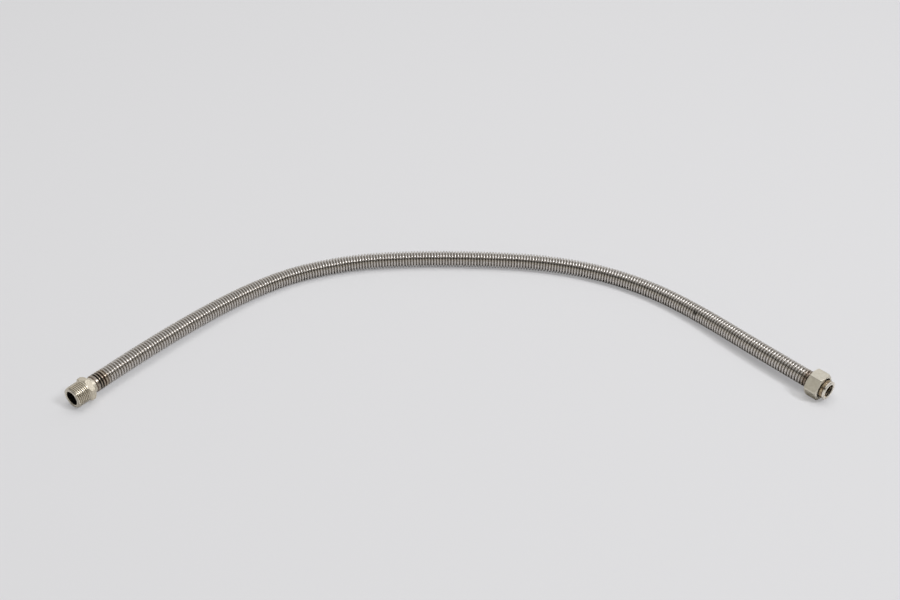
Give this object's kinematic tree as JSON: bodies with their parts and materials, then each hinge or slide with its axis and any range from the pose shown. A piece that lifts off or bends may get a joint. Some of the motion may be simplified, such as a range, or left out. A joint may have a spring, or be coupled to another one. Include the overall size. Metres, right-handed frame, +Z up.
{
  "type": "vacuum bellows hose",
  "caption": "Flexible stainless bellows hose lying in a low arch, with a male hex nipple at one end and a loose hex union nut over a flat seal collar at the other.",
  "frame": {"origin": "on the bench under the middle of the whole object as it lies", "axes": "+X from the male nipple end to the union nut end, +Y towards the crown of the arch, +Z up from the bench"},
  "size_m": [0.7064, 0.2425, 0.024],
  "materials": {
    "formed_tube": "bright formed stainless steel, smooth crests",
    "turned_nipple": "satin turned stainless steel",
    "weld_metal": "heat-tinted weld",
    "end_rings": "heat-tinted stainless steel",
    "seal_collar": "fine turned stainless steel",
    "union_nut": "satin cast and milled stainless steel"
  },
  "bodies": {
    "hose": {"corrugated_hose": "formed_tube", "hex_nipple": "turned_nipple", "nipple_weld": "weld_metal", "nipple_end_ring": "end_rings", "tail_end_ring": "end_rings", "tail_weld": "weld_metal", "seal_collar": "seal_collar"},
    "nut": {"union_nut": "union_nut"}
  },
  "joints": [
    {"name": "nut_spin", "type": "hinge", "parent": "hose", "child": "nut", "pos_m": [0.33819, -0.08091, 0.012], "axis": [0.687, -0.7266, 0], "continuous": true}
  ]
}
